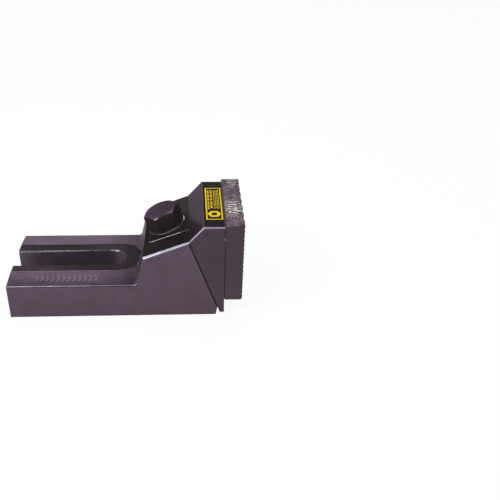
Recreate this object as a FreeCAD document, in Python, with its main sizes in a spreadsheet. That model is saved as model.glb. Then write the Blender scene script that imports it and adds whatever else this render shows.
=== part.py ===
import FreeCAD, Part
import math
import os
import re
import Sketcher

# Side vise for a machine table, in millimetres. A forged base is bolted down through an open slot, and a
# hexagon screw drives a wedge-shaped jaw down the base's inclined front, forward and down on the work.
# +X points from the bolt slot to the jaw, +Z is up and Y = 0 is the middle plane. The origin is the
# centre of the slot's round inner end, in the plane of the sole.
# The slide frame stands on the top edge of the incline: its x is square to the incline and points
# forward, its y is Y, and its z runs up the incline. The screw and the jaw's lug are placed in it.

SIZES = {
    "body_width": 75.0,
    "foot_rear": 73.0,
    "foot_edge_height": 26.6,
    "foot_draft": 6.0,
    "seat_height": 28.1,
    "seat_width": 38.6,
    "seat_reach": 3.0,
    "slot_width": 20.0,
    "slot_chamfer": 0.9,
    "head_rear": 26.1,
    "head_rear_height": 49.9,
    "riser_lean": 13.6,
    "riser_fillet": 3.0,
    "slope_angle": 20.5,
    "slope_length": 34.8,
    "slope_bevel": 1.2,
    "edge_round": 1.0,
    "toe_height": 6.4,
    "toe_undercut": 1.1,
    "slide_gap": 0.1,
    "lug_length": 32.0,
    "lug_width": 37.6,
    "lug_thickness": 18.0,
    "lug_corner": 4.0,
    "lug_bevel": 0.6,
    "lug_gap": 0.4,
    "pocket_depth": 26.0,
    "wedge_bevel": 0.9,
    "steep_angle": 48.2263,
    "jaw_back": 84.5,
    "tail_height": 1.9,
    "jaw_thickness": 13.8,
    "jaw_top": 76.0,
    "jaw_proud": 2.0,
    "jaw_bottom": 13.0,
    "jaw_lean": 0.5,
    "jaw_bevel": 0.7,
    "jaw_toe_round": 1.8,
    "rib_pitch": 3.6,
    "rib_depth": 1.1,
    "rib_start": 5.0,
    "rib_count": 16,
    "flute_pitch": 10.7,
    "flute_width": 7.0,
    "flute_depth": 1.1,
    "flute_count": 6,
    "screw_back": 17.0,
    "thread_diameter": 16.0,
    "thread_gap": 0.05,
    "screw_length": 50.0,
    "screw_point": 1.5,
    "lug_hole_diameter": 17.5,
    "head_flats": 24.0,
    "head_height": 13.0,
    "head_turn": 13.6,
    "head_bevel": 28.0,
    "head_face_diameter": 22.6,
    "head_face_height": 0.2,
    "washer_diameter": 28.4,
    "washer_thickness": 1.0,
    "washer_bevel": 0.3,
    "ring_groove_diameter": 14.8,
    "ring_diameter": 21.0,
    "ring_thickness": 1.2,
    "ring_play": 0.1,
    "ring_opening": 10.0,
    "jaw_screw_spacing": 42.8,
    "jaw_screw_diameter": 8.0,
    "jaw_screw_length": 16.0,
    "jaw_screw_head": 13.0,
    "jaw_screw_socket": 6.0,
    "jaw_screw_web": 4.6,
    "jaw_hole_gap": 0.5,
    "jaw_tap_depth": 14.0,
    "pin_diameter": 3.0,
    "pin_drop": 11.9,
    "pin_length": 12.0,
    "fit_gap": 0.02,
    "label_thickness": 0.2,
    "label_margin": 0.4,
    "cut_over": 10.0,
}

# Places that several pieces share, written once from the sizes above.
PLACES = {
    "half_width": "body_width / 2",
    "seam_along": "head_rear + slope_length * cos(slope_angle)",
    "seam_height": "head_rear_height + slope_length * sin(slope_angle)",
    "nose_along": "seam_along + (seam_height - toe_height) * tan(slope_angle)",
    "riser_foot": "head_rear - head_rear_height * tan(riser_lean)",
    "foot_ridge_height": "foot_edge_height + (half_width - seat_width / 2) * tan(foot_draft)",
    "wedge_top": "jaw_top - jaw_proud",
    "jaw_seam_along": "seam_along + slide_gap * cos(slope_angle)",
    "jaw_seam_height": "seam_height + slide_gap * sin(slope_angle)",
    "tail_along": "jaw_seam_along + (jaw_seam_height - tail_height) * tan(slope_angle)",
    "plateau_rear": "jaw_seam_along + (wedge_top - jaw_seam_height) / tan(steep_angle)",
    "plateau_length": "jaw_back - plateau_rear",
    "jaw_face_foot": "jaw_back + jaw_thickness - (jaw_top - jaw_bottom) * tan(jaw_lean)",
    "jaw_screw_height": "(jaw_top + jaw_bottom) / 2",
    "pin_height": "jaw_top - pin_drop",
    "screw_along": "seam_along - screw_back * cos(slope_angle)",
    "screw_height": "seam_height - screw_back * sin(slope_angle)",
    "head_corner_radius": "head_flats / sqrt(3)",
    "head_seat": "washer_thickness + head_face_height",
}

# Two places count as one within SAME. A search for edges reaches this far, REACH, past the heights it names.
SAME = 0.01
REACH = 1.0

doc = FreeCAD.newDocument("side_vise")
sheet = doc.addObject("Spreadsheet::Sheet", "sizes")


def with_sheet(text):
    """The expression with the sheet's name before each name that the sheet holds."""
    return re.sub(r"[a-z][a-z_]+", lambda word: "sizes." + word[0] if word[0] in known else word[0], text)


known = set(SIZES) | set(PLACES)
for row, (alias, number) in enumerate(SIZES.items(), 1):
    sheet.set(f"A{row}", alias)
    sheet.set(f"B{row}", str(number))
    sheet.setAlias(f"B{row}", alias)
for row, (alias, text) in enumerate(PLACES.items(), 1):
    sheet.set(f"D{row}", alias)
    sheet.set(f"E{row}", "=" + text)
    sheet.setAlias(f"E{row}", alias)
doc.recompute()


def amount(text):
    """The present value of an expression in the sheet's names."""
    found = sheet.evalExpression(text)
    return float(getattr(found, "Value", found))


def tie(thing, **expressions):
    """Binds properties of an object to expressions. A double underscore in a name stands for a dot."""
    for name, text in expressions.items():
        thing.setExpression(name.replace("__", "."), with_sheet(text))


def place(thing, along="0", across="0", height="0", tilt=None):
    """Puts an object at a point, leaned back with the incline where tilt names its angle."""
    thing.Placement = FreeCAD.Placement(
        FreeCAD.Vector(amount(along), amount(across), amount(height)),
        FreeCAD.Rotation(FreeCAD.Vector(0, -1, 0), amount(tilt) if tilt else 0),
    )
    tie(thing, Placement__Base__x=along, Placement__Base__y=across, Placement__Base__z=height)
    if tilt:
        tie(thing, Placement__Rotation__Angle=tilt)


def sketch_on(body, name, plane, along="0", across="0", off="0", axis=None, turn="0"):
    """An empty sketch on one of the body's planes, moved and turned in that plane's own frame."""
    sketch = body.newObject("Sketcher::SketchObject", name)
    support = [f for f in body.Origin.OriginFeatures if f.Role == plane]
    sketch.AttachmentSupport = [(support[0], "")]
    sketch.MapMode = "FlatFace"
    sketch.AttachmentOffset = FreeCAD.Placement(
        FreeCAD.Vector(amount(along), amount(across), amount(off)),
        FreeCAD.Rotation(axis or FreeCAD.Vector(0, 0, 1), amount(turn)),
    )
    tie(sketch, AttachmentOffset__Base__x=along, AttachmentOffset__Base__y=across)
    tie(sketch, AttachmentOffset__Base__z=off)
    if axis:
        tie(sketch, AttachmentOffset__Rotation__Angle=turn)
    return sketch


def slide_sketch(body, name, up="0"):
    """A sketch in the slide frame, square to the screw, at a height up the incline."""
    return sketch_on(
        body,
        name,
        "XY_Plane",
        along=f"seam_along - ({up}) * sin(slope_angle)",
        off=f"seam_height + ({up}) * cos(slope_angle)",
        axis=FreeCAD.Vector(0, -1, 0),
        turn="slope_angle",
    )


def hold(sketch, geometry, point, across, up):
    """Fixes one point of the sketch at the two expressions."""
    for kind, axis, text in (("DistanceX", -2, across), ("DistanceY", -1, up)):
        if text == "0":
            sketch.addConstraint(Sketcher.Constraint("PointOnObject", geometry, point, axis))
            continue
        rule = Sketcher.Constraint(kind, -1, 1, geometry, point, amount(text))
        number = sketch.addConstraint(rule)
        tie(sketch, **{f"Constraints[{number}]": text})


def add_outline(sketch, corners):
    """A closed outline of straight lines, each corner held at its two expressions."""
    points = [FreeCAD.Vector(amount(across), amount(up), 0) for across, up in corners]
    first = len(sketch.Geometry)
    for here, there in zip(points, points[1:] + points[:1]):
        sketch.addGeometry(Part.LineSegment(here, there), False)
    for number, (across, up) in enumerate(corners):
        before = first + (number - 1) % len(corners)
        here = first + number
        sketch.addConstraint(Sketcher.Constraint("Coincident", before, 2, here, 1))
        hold(sketch, here, 1, across, up)


def add_circle(sketch, across, up, radius):
    """A circle with its centre and radius held at expressions."""
    centre = FreeCAD.Vector(amount(across), amount(up), 0)
    number = sketch.addGeometry(Part.Circle(centre, FreeCAD.Vector(0, 0, 1), amount(radius)), False)
    hold(sketch, number, 3, across, up)
    rule = sketch.addConstraint(Sketcher.Constraint("Radius", number, amount(radius)))
    tie(sketch, **{f"Constraints[{rule}]": radius})


def add_open_slot(sketch, radius, rear):
    """A slot outline: round about the origin at its inner end, straight back past the rear."""
    size = amount(radius)
    back = -amount(rear)
    circle = Part.Circle(FreeCAD.Vector(0, 0, 0), FreeCAD.Vector(0, 0, 1), size)
    corners = [FreeCAD.Vector(x, y, 0) for x, y in ((0, size), (back, size), (back, -size), (0, -size))]
    arc = sketch.addGeometry(Part.ArcOfCircle(circle, -math.pi / 2, math.pi / 2), False)
    far_side, end, near_side = [
        sketch.addGeometry(Part.LineSegment(here, there), False) for here, there in zip(corners, corners[1:])
    ]
    for rule in (
        ("Coincident", arc, 3, -1, 1),
        ("PointOnObject", arc, 1, -2),
        ("Coincident", arc, 2, far_side, 1),
        ("Coincident", far_side, 2, end, 1),
        ("Coincident", end, 2, near_side, 1),
        ("Coincident", near_side, 2, arc, 1),
        ("Horizontal", far_side),
        ("Vertical", end),
        ("Horizontal", near_side),
    ):
        sketch.addConstraint(Sketcher.Constraint(*rule))
    number = sketch.addConstraint(Sketcher.Constraint("Radius", arc, size))
    tie(sketch, **{f"Constraints[{number}]": radius})
    number = sketch.addConstraint(Sketcher.Constraint("DistanceX", -1, 1, end, 1, back))
    tie(sketch, **{f"Constraints[{number}]": f"-({rear})"})


def extrude(body, kind, name, sketch, length=None, both_ways=False, backwards=False):
    """A pad or pocket of the sketch. A pocket with no length goes right through."""
    feature = body.newObject(f"PartDesign::{kind}", name)
    feature.Profile = sketch
    feature.Reversed = backwards
    if both_ways:
        feature.SideType = "Symmetric"
    if length:
        tie(feature, Length=length)
    else:
        feature.Type = "ThroughAll"
    sketch.Visibility = False
    doc.recompute()
    return feature


def dress(body, kind, name, size, wanted):
    """A fillet or chamfer on those edges of the body's present shape for which wanted says yes."""
    base = body.Tip
    names = [f"Edge{n}" for n, edge in enumerate(base.Shape.Edges, 1) if wanted(edge)]
    feature = body.newObject(f"PartDesign::{kind}", name)
    feature.Base = (base, names)
    tie(feature, **{"Radius" if kind == "Fillet" else "Size": size})
    doc.recompute()
    return feature


def pattern(body, name, feature, direction, length, count):
    """Copies of a feature in a row. The length is from the first copy to the last."""
    row = body.newObject("PartDesign::LinearPattern", name)
    row.Originals = [feature]
    row.Direction = direction
    tie(row, Length=length, Occurrences=count)
    body.Tip = row
    doc.recompute()
    return row


def middle(edge):
    return edge.valueAt((edge.FirstParameter + edge.LastParameter) / 2)


def near(one, other):
    return abs(one - other) < SAME


def on_side(edge):
    """True for an edge that lies in one of the two side faces."""
    return all(near(abs(v.Point.y), amount("half_width")) for v in edge.Vertexes)


def new_body(name):
    body = doc.addObject("PartDesign::Body", name)
    body.Label = name
    return body


def make_base_body():
    """The forged base: the foot with its bolt slot, and the head that carries jaw and screw."""
    body = new_body("base_body")
    sketch = sketch_on(body, "foot_section", "YZ_Plane", off="-foot_rear")
    add_outline(
        sketch,
        [
            ("-half_width", "0"),
            ("half_width", "0"),
            ("half_width", "foot_edge_height"),
            ("seat_width / 2", "foot_ridge_height"),
            ("-seat_width / 2", "foot_ridge_height"),
            ("-half_width", "foot_edge_height"),
        ],
    )
    extrude(body, "Pad", "foot", sketch, "foot_rear + head_rear")
    sketch = sketch_on(body, "head_side", "XZ_Plane")
    add_outline(
        sketch,
        [
            ("riser_foot", "0"),
            ("nose_along - toe_undercut", "0"),
            ("nose_along", "toe_height"),
            ("seam_along", "seam_height"),
            ("head_rear", "head_rear_height"),
        ],
    )
    extrude(body, "Pad", "head", sketch, "body_width", both_ways=True)

    def at_riser_foot(edge):
        point = middle(edge)
        leaned = amount("head_rear") - (amount("head_rear_height") - point.z) * amount("tan(riser_lean)")
        low = amount("foot_edge_height") - REACH
        high = amount("foot_ridge_height") + REACH
        return near(point.x, leaned) and low < point.z < high and edge.BoundBox.YLength > REACH

    dress(body, "Fillet", "riser_foot_round", "riser_fillet", at_riser_foot)

    def beside_slope(edge):
        point = middle(edge)
        half_way = amount("(head_rear_height + seam_height) / 2")
        return on_side(edge) and near(point.z, half_way) and point.x > amount("head_rear")

    dress(body, "Chamfer", "slope_edge_bevel", "slope_bevel", beside_slope)

    def beside_foot(edge):
        point = middle(edge)
        low = amount("foot_edge_height") - REACH
        top = amount("head_rear_height - slope_bevel")
        return on_side(edge) and low < point.z < top and point.x < amount("head_rear")

    dress(body, "Fillet", "foot_edge_round", "edge_round", beside_foot)

    sketch = sketch_on(body, "seat_outline", "XY_Plane", along="seat_reach", off="seat_height")
    add_open_slot(sketch, "seat_width / 2", "foot_rear + seat_reach + cut_over")
    extrude(body, "Pocket", "seat", sketch, "cut_over", backwards=True)
    sketch = sketch_on(body, "slot_outline", "XY_Plane")
    add_open_slot(sketch, "slot_width / 2", "foot_rear + cut_over")
    extrude(body, "Pocket", "slot", sketch, "seat_height + cut_over", backwards=True)

    def on_slot_rim(edge):
        point = middle(edge)
        inside = max(abs(point.y), point.x) < amount("slot_width / 2") + SAME
        level = near(edge.BoundBox.ZMin, amount("seat_height")) and near(edge.BoundBox.ZLength, 0)
        return level and inside and edge.BoundBox.XLength > REACH

    dress(body, "Chamfer", "slot_rim_bevel", "slot_chamfer", on_slot_rim)

    sketch = slide_sketch(body, "lug_pocket_outline")
    wall = "lug_width / 2 + lug_gap"
    add_outline(
        sketch,
        [
            ("-lug_length - lug_gap", f"-({wall})"),
            ("cut_over", f"-({wall})"),
            ("cut_over", wall),
            ("-lug_length - lug_gap", wall),
        ],
    )
    extrude(body, "Pocket", "lug_pocket", sketch, "pocket_depth")

    def in_pocket_corner(edge):
        rear = amount("seam_along - (lug_length + lug_gap) * cos(slope_angle)")
        rear += amount("pocket_depth / 2 * sin(slope_angle)")
        point = middle(edge)
        return near(point.x, rear) and near(abs(point.y), amount(wall))

    dress(body, "Fillet", "pocket_corner_round", "lug_corner + lug_gap", in_pocket_corner)
    sketch = slide_sketch(body, "tapped_hole_outline")
    add_circle(sketch, "-screw_back", "0", "thread_diameter / 2 + thread_gap")
    extrude(body, "Pocket", "tapped_hole", sketch)
    return body


def add_side_pin_holes(body):
    """The two pin holes, half in the jaw block and half in the plate, from the two side faces."""
    for name, off, backwards in (("near", "half_width", False), ("far", "-half_width", True)):
        sketch = sketch_on(body, f"{name}_pin_outline", "XZ_Plane", off=off)
        add_circle(sketch, "jaw_back", "pin_height", "pin_diameter / 2 + fit_gap")
        extrude(body, "Pocket", f"{name}_pin_hole", sketch, "pin_length + fit_gap", backwards=backwards)


def make_wedge_slide():
    """The jaw block: a wedge on the incline, with a lug that reaches back under the screw's head."""
    body = new_body("wedge_slide")
    sketch = sketch_on(body, "block_side", "XZ_Plane")
    add_outline(
        sketch,
        [
            ("tail_along", "tail_height"),
            ("jaw_back", "tail_height"),
            ("jaw_back", "wedge_top"),
            ("plateau_rear", "wedge_top"),
            ("jaw_seam_along", "jaw_seam_height"),
        ],
    )
    extrude(body, "Pad", "block", sketch, "body_width", both_ways=True)

    def on_top_edge(edge):
        return on_side(edge) and middle(edge).z > amount("jaw_seam_height") and edge.BoundBox.XLength > REACH

    dress(body, "Chamfer", "top_edge_bevel", "wedge_bevel", on_top_edge)
    sketch = slide_sketch(body, "lug_outline")
    add_outline(
        sketch,
        [
            ("-lug_length", "-lug_width / 2"),
            ("slide_gap + lug_corner", "-lug_width / 2"),
            ("slide_gap + lug_corner", "lug_width / 2"),
            ("-lug_length", "lug_width / 2"),
        ],
    )
    extrude(body, "Pad", "lug", sketch, "lug_thickness", backwards=True)

    def on_lug_corner(edge):
        rear = amount("seam_along - lug_length * cos(slope_angle) + lug_thickness / 2 * sin(slope_angle)")
        point = middle(edge)
        return near(point.x, rear) and near(abs(point.y), amount("lug_width / 2"))

    dress(body, "Fillet", "lug_corner_round", "lug_corner", on_lug_corner)

    def on_lug_top(edge):
        point = middle(edge)
        rise = (point.x - amount("seam_along")) * amount("sin(slope_angle)")
        rise -= (point.z - amount("seam_height")) * amount("cos(slope_angle)")
        flat = all(
            near((v.X - amount("seam_along")) * amount("tan(slope_angle)"), v.Z - amount("seam_height"))
            for v in edge.Vertexes
        )
        return near(rise, 0) and flat and point.x < amount("seam_along") - REACH

    dress(body, "Chamfer", "lug_top_bevel", "lug_bevel", on_lug_top)
    sketch = slide_sketch(body, "lug_hole_outline")
    add_circle(sketch, "-screw_back", "0", "lug_hole_diameter / 2")
    extrude(body, "Pocket", "lug_hole", sketch, "lug_thickness + cut_over")
    sketch = sketch_on(body, "tapped_holes_outline", "YZ_Plane", off="jaw_back")
    radius = "jaw_screw_diameter / 2 + fit_gap"
    for side in ("-", ""):
        add_circle(sketch, f"{side}jaw_screw_spacing / 2", "jaw_screw_height", radius)
    extrude(body, "Pocket", "tapped_holes", sketch, "jaw_tap_depth")
    add_side_pin_holes(body)
    return body


def make_jaw_plate():
    """The serrated plate: ribs across the face and flutes up it, and two sunk screw holes."""
    body = new_body("jaw_plate")
    sketch = sketch_on(body, "plate_side", "XZ_Plane")
    add_outline(
        sketch,
        [
            ("jaw_back", "jaw_bottom"),
            ("jaw_face_foot", "jaw_bottom"),
            ("jaw_back + jaw_thickness", "jaw_top"),
            ("jaw_back", "jaw_top"),
        ],
    )
    extrude(body, "Pad", "plate", sketch, "body_width", both_ways=True)

    def on_toe(edge):
        point = middle(edge)
        return near(point.x, amount("jaw_face_foot")) and near(point.z, amount("jaw_bottom"))

    dress(body, "Fillet", "toe_round", "jaw_toe_round", on_toe)

    def on_rear_edge(edge):
        point = middle(edge)
        return near(point.x, amount("jaw_back")) and (on_side(edge) or near(point.z, amount("jaw_top")))

    dress(body, "Chamfer", "rear_edge_bevel", "jaw_bevel", on_rear_edge)
    face = dict(along="jaw_face_foot", axis=FreeCAD.Vector(0, 0, -1), turn="jaw_lean")
    ribs = sketch_on(body, "rib_outline", "XZ_Plane", across="jaw_bottom", **face)
    add_outline(
        ribs,
        [
            ("-rib_depth", "rib_start"),
            ("cut_over", "rib_start - rib_depth - cut_over"),
            ("cut_over", "rib_start + rib_depth + cut_over"),
        ],
    )
    groove = extrude(body, "Pocket", "rib_groove", ribs, "body_width + cut_over", both_ways=True)
    pattern(body, "ribs", groove, (ribs, ["V_Axis"]), "rib_pitch * (rib_count - 1)", "rib_count")
    face = dict(along="jaw_face_foot", axis=FreeCAD.Vector(0, 1, 0), turn="jaw_lean")
    flutes = sketch_on(body, "flute_outline", "XY_Plane", off="jaw_bottom", **face)
    first = "-flute_pitch * (flute_count - 1) / 2"
    add_outline(
        flutes,
        [
            ("-flute_depth", first),
            ("flute_depth", f"{first} - flute_width"),
            ("flute_depth", f"{first} + flute_width"),
        ],
    )
    groove = extrude(body, "Pocket", "flute_groove", flutes, "2 * jaw_top", both_ways=True)
    pattern(body, "flutes", groove, (flutes, ["V_Axis"]), "flute_pitch * (flute_count - 1)", "flute_count")
    holes = (
        ("screw_hole", "jaw_back", "jaw_screw_diameter / 2 + jaw_hole_gap"),
        ("head_hole", "jaw_back + jaw_screw_web", "jaw_screw_head / 2 + jaw_hole_gap"),
    )
    for name, start, radius in holes:
        sketch = sketch_on(body, f"{name}_outline", "YZ_Plane", off=start)
        for side in ("-", ""):
            add_circle(sketch, f"{side}jaw_screw_spacing / 2", "jaw_screw_height", radius)
        extrude(body, "Pocket", name, sketch, "jaw_thickness + cut_over", backwards=True)
    add_side_pin_holes(body)
    return body


def make_clamp_screw():
    """The hexagon screw, turned and then milled to its flats, upright on the lug's top face."""
    body = new_body("clamp_screw")
    place(body, "screw_along", "0", "screw_height", tilt="slope_angle")
    sketch = sketch_on(body, "turned_outline", "XZ_Plane")
    shank = "thread_diameter / 2"
    point = "washer_thickness - screw_length"
    groove_top = "-lug_thickness - ring_play"
    groove_foot = "-lug_thickness - ring_play - ring_thickness - ring_play"
    top = "head_seat + head_height"
    face = "head_face_diameter / 2"
    cone = f"(head_corner_radius - {face}) * tan(head_bevel)"
    add_outline(
        sketch,
        [
            ("0", point),
            (f"{shank} - screw_point", point),
            (shank, f"{point} + screw_point"),
            (shank, groove_foot),
            ("ring_groove_diameter / 2", groove_foot),
            ("ring_groove_diameter / 2", groove_top),
            (shank, groove_top),
            (shank, "washer_thickness"),
            (face, "washer_thickness"),
            (face, "head_seat"),
            ("head_corner_radius", "head_seat"),
            ("head_corner_radius", f"{top} - {cone}"),
            (face, top),
            ("0", top),
        ],
    )
    turned = body.newObject("PartDesign::Revolution", "turned")
    turned.Profile = sketch
    turned.ReferenceAxis = (sketch, ["V_Axis"])
    turned.Angle = 360
    doc.recompute()
    sketch = sketch_on(body, "flats_outline", "XY_Plane", off="head_seat")
    corners = [f"head_turn + {angle}" for angle in range(0, 360, 60)]
    radius = "head_corner_radius"
    add_outline(sketch, [(f"{radius} * cos({turn})", f"{radius} * sin({turn})") for turn in corners])
    add_circle(sketch, "0", "0", "head_corner_radius + cut_over")
    extrude(body, "Pocket", "flats", sketch, "head_height + cut_over", backwards=True)
    return body


def make_screw_washer():
    """The hardened washer between the screw's head and the lug."""
    body = new_body("screw_washer")
    place(body, "screw_along", "0", "screw_height", tilt="slope_angle")
    sketch = sketch_on(body, "washer_outline", "XY_Plane")
    add_circle(sketch, "0", "0", "washer_diameter / 2")
    add_circle(sketch, "0", "0", "lug_hole_diameter / 2")
    extrude(body, "Pad", "washer", sketch, "washer_thickness")

    def on_rim(edge):
        return near(edge.BoundBox.XLength, amount("washer_diameter")) or near(
            edge.BoundBox.YLength, amount("washer_diameter")
        )

    dress(body, "Chamfer", "washer_rim_bevel", "washer_bevel", on_rim)
    return body


def make_retaining_ring():
    """The open ring in the screw's groove, just under the lug."""
    body = new_body("retaining_ring")
    place(body, "screw_along", "0", "screw_height", tilt="slope_angle")
    sketch = sketch_on(body, "ring_outline", "XY_Plane", off="-lug_thickness - ring_play - ring_thickness")
    add_circle(sketch, "0", "0", "ring_diameter / 2")
    add_circle(sketch, "0", "0", "ring_groove_diameter / 2 + fit_gap")
    extrude(body, "Pad", "ring", sketch, "ring_thickness")
    sketch = sketch_on(body, "opening_outline", "XY_Plane", off="-lug_thickness")
    add_outline(
        sketch,
        [
            ("-ring_diameter", "-ring_opening / 2"),
            ("-fit_gap", "-ring_opening / 2"),
            ("-fit_gap", "ring_opening / 2"),
            ("-ring_diameter", "ring_opening / 2"),
        ],
    )
    extrude(body, "Pocket", "opening", sketch, "cut_over")
    return body


def solid(kind, name, along, across, height, axis=None, **expressions):
    """A simple solid with its sizes tied, standing at a point, turned a quarter about the axis."""
    piece = doc.addObject(kind, name)
    piece.Label = name
    tie(piece, **expressions)
    piece.Placement = FreeCAD.Placement(
        FreeCAD.Vector(amount(along), amount(across), amount(height)),
        FreeCAD.Rotation(axis or FreeCAD.Vector(0, 0, 1), 90 if axis else 0),
    )
    tie(piece, Placement__Base__x=along, Placement__Base__y=across, Placement__Base__z=height)
    return piece


def pair(name, piece):
    """The piece and its mirror image across the middle plane, as one sub-part of two solids."""
    other = doc.addObject("Part::Mirroring", f"{name}_far")
    other.Source = piece
    other.Normal = FreeCAD.Vector(0, 1, 0)
    both = doc.addObject("Part::Compound", name)
    both.Label = name
    both.Links = [piece, other]
    doc.recompute()
    return both


def make_jaw_screws():
    """Two socket-head screws, from the sunk holes in the plate into the jaw block."""
    forward = FreeCAD.Vector(0, 1, 0)
    spot = dict(across="-jaw_screw_spacing / 2", height="jaw_screw_height", axis=forward)
    seat = "jaw_back + jaw_screw_web"
    head = solid("Part::Cylinder", "jaw_screw_head_solid", seat, **spot, Radius="jaw_screw_head / 2",
                 Height="jaw_screw_diameter")
    shank = solid("Part::Cylinder", "jaw_screw_shank", f"{seat} - jaw_screw_length", **spot,
                  Radius="jaw_screw_diameter / 2", Height="jaw_screw_length")
    socket = solid("Part::Prism", "jaw_screw_key", f"{seat} + jaw_screw_diameter / 2", **spot,
                   Circumradius="jaw_screw_socket / sqrt(3)", Height="jaw_screw_diameter")
    joined = doc.addObject("Part::Fuse", "jaw_screw_turned")
    joined.Base = head
    joined.Tool = shank
    one = doc.addObject("Part::Cut", "jaw_screw_near")
    one.Base = joined
    one.Tool = socket
    return pair("jaw_screws", one)


def make_jaw_pins():
    """Two short pins at the joint of plate and block, their ends level with the side faces."""
    inward = FreeCAD.Vector(-1, 0, 0)
    one = solid("Part::Cylinder", "jaw_pin_near", "jaw_back", "-half_width", "pin_height", inward,
                Radius="pin_diameter / 2", Height="pin_length")
    return pair("jaw_pins", one)


def make_top_label():
    """The thin label that covers the flat top of the jaw block."""
    edge = "half_width - wedge_bevel - label_margin"
    return solid("Part::Box", "top_label", "plateau_rear + label_margin", f"-({edge})", "wedge_top",
                 Length="plateau_length - 2 * label_margin", Width=f"2 * ({edge})",
                 Height="label_thickness")


nodes = [
    make_base_body(),
    make_wedge_slide(),
    make_jaw_plate(),
    make_jaw_screws(),
    make_jaw_pins(),
    make_clamp_screw(),
    make_screw_washer(),
    make_retaining_ring(),
    make_top_label(),
]
doc.recompute()

failed = [thing.Label for thing in doc.Objects if {"Invalid", "Error"} & set(thing.State)]
if failed:
    raise RuntimeError("failed features: " + ", ".join(failed))
for node in nodes:
    if node.Shape.isNull() or not node.Shape.isValid():
        raise RuntimeError("no valid shape: " + node.Label)

os.makedirs("parts", exist_ok=True)
for node in nodes:
    node.Shape.exportStep(f"parts/{node.Label}.step")
    box = node.Shape.BoundBox
    print(node.Label, "solids", len(node.Shape.Solids), "volume", round(node.Shape.Volume, 1))
    print("   x", round(box.XMin, 2), round(box.XMax, 2), "y", round(box.YMin, 2), round(box.YMax, 2))
    print("   z", round(box.ZMin, 2), round(box.ZMax, 2))
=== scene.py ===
from math import atan2, cos, degrees, pi, radians, sin, tan

import bmesh
import bpy
from mathutils import Matrix, Quaternion, Vector, noise


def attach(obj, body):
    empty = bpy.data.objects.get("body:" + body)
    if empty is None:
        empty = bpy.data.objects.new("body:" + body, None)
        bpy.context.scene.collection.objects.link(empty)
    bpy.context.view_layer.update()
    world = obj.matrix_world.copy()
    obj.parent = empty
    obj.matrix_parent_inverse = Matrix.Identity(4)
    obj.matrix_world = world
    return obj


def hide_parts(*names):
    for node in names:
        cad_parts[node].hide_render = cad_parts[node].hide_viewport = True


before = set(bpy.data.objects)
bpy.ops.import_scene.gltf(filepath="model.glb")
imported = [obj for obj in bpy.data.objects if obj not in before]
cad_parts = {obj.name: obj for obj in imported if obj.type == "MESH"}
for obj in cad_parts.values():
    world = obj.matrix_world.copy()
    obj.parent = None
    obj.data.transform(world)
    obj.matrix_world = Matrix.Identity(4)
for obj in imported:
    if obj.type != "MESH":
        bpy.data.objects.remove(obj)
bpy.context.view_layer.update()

# Camera, floor and light. The vise stands on white paper under plain soft studio light: one softbox to the
# left of the camera, a weaker one above, and an even white surround.

MM = 0.001
scene = bpy.context.scene
scene.view_settings.view_transform = "Standard"

EYE = Vector((58.70, -457.94, 308.42)) * MM
LOOKED_AT = Vector((84.42, 0, 33.35)) * MM
ROLL = radians(1.03)
SENSOR = 36
FOCAL = 49.93
SHIFT = 0.0559

lens = bpy.data.cameras.new("camera")
lens.sensor_width = SENSOR
lens.lens = FOCAL
lens.shift_x = SHIFT
lens.clip_start = 0.01
camera = bpy.data.objects.new("camera", lens)
aim = (LOOKED_AT - EYE).to_track_quat("-Z", "Y") @ Quaternion((0, 0, 1), ROLL)
camera.matrix_world = Matrix.LocRotScale(EYE, aim, None)
scene.collection.objects.link(camera)
scene.camera = camera


def shader_tree(material):
    """Empties the node tree of a material or world, and returns what adds a node to it and links its inputs."""
    material.use_nodes = True
    tree = material.node_tree
    tree.nodes.clear()

    def add(kind, *inputs, **settings):
        node = tree.nodes.new("ShaderNode" + kind)
        for name, value in settings.items():
            setattr(node, name, value)
        for socket, value in inputs:
            if isinstance(value, bpy.types.NodeSocket):
                tree.links.new(value, node.inputs[socket])
            else:
                node.inputs[socket].default_value = value
        return node

    return add


SURROUND = 0.55
add = shader_tree(bpy.data.worlds.new("surround"))
scene.world = bpy.data.worlds["surround"]
path = add("LightPath").outputs
mirrored = add("Math", (0, path["Is Camera Ray"]), (1, path["Is Glossy Ray"]), operation="MAXIMUM")
seen = add("Math", (0, mirrored.outputs[0]), (1, path["Is Transmission Ray"]), operation="MAXIMUM")
strength = add("MapRange", ("Value", seen.outputs[0]), ("To Min", SURROUND), ("To Max", 1.0))
light = add("Background", ("Color", (1, 1, 1, 1)), ("Strength", strength.outputs[0]))
add("OutputWorld", ("Surface", light.outputs[0]))

FLOOR_HALF = 4.0
FLOOR_DROP = 0.05 * MM
GLOW_SEEN = 0.9
GLOW = 1.02
plan = bmesh.new()
bmesh.ops.create_grid(plan, x_segments=1, y_segments=1, size=FLOOR_HALF,
                      matrix=Matrix.Translation((0, 0, -FLOOR_DROP)))
floor = bpy.data.objects.new("floor", bpy.data.meshes.new("floor"))
plan.to_mesh(floor.data)
plan.free()
scene.collection.objects.link(floor)
paper = bpy.data.materials.new("white_paper")
add = shader_tree(paper)
speckle = add("TexNoise", ("Vector", add("TexCoord").outputs["Object"]), ("Scale", 40.0), ("Detail", 4.0))
tone = add("MapRange", ("Value", speckle.outputs["Fac"]), ("To Min", 0.93), ("To Max", 0.95))
matte = add("BsdfDiffuse", ("Color", tone.outputs[0]))
glow = add("Emission", ("Color", (1, 1, 1, 1)), ("Strength", GLOW))
share = add("MapRange", ("Value", add("LightPath").outputs["Is Camera Ray"]), ("To Max", GLOW_SEEN))
mixed = add("MixShader", ("Fac", share.outputs[0]), (1, matte.outputs[0]), (2, glow.outputs[0]))
add("OutputMaterial", ("Surface", mixed.outputs[0]))
floor.data.materials.append(paper)


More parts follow.
